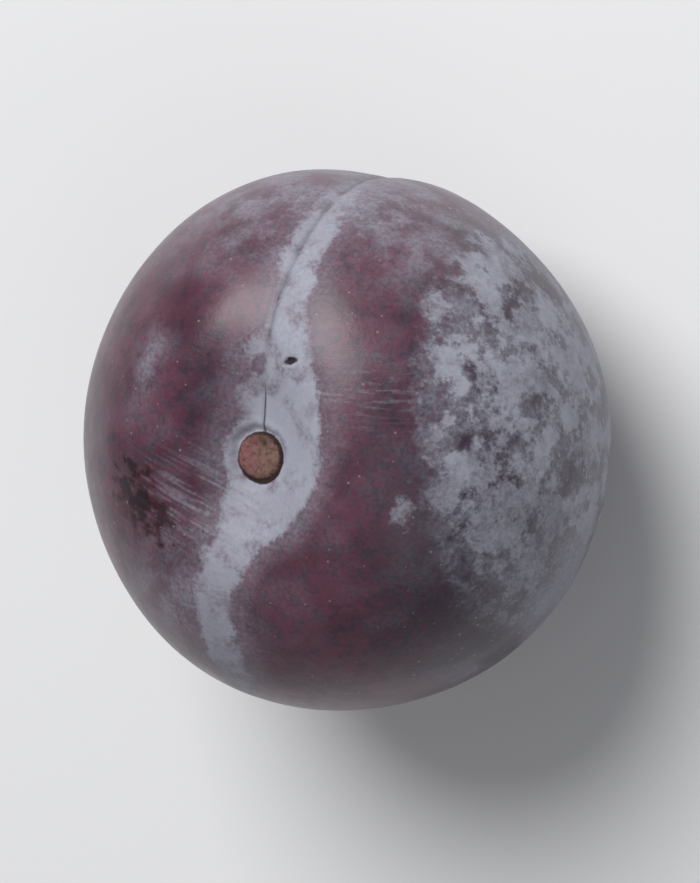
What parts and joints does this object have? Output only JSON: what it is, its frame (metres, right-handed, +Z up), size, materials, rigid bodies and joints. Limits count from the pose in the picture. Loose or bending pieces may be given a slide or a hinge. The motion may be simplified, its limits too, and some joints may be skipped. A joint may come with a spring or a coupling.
{
  "type": "plum",
  "caption": "Whole dark-skinned plum as picked, oblate, with a shallow stem basin holding a dry stem scar, a suture down one side and a small flat spot to rest on.",
  "frame": {"origin": "on the rest spot at the blossom end, under the middle of the fruit", "axes": "+Z up the stem axis to the stem basin, +Y towards the suture, +X towards the prouder cheek"},
  "size_m": [0.065, 0.066, 0.057],
  "materials": {
    "skin": "satin burgundy skin under a matt lavender-grey wax bloom"
  },
  "bodies": {
    "root": {"plum": "skin"}
  },
  "joints": []
}
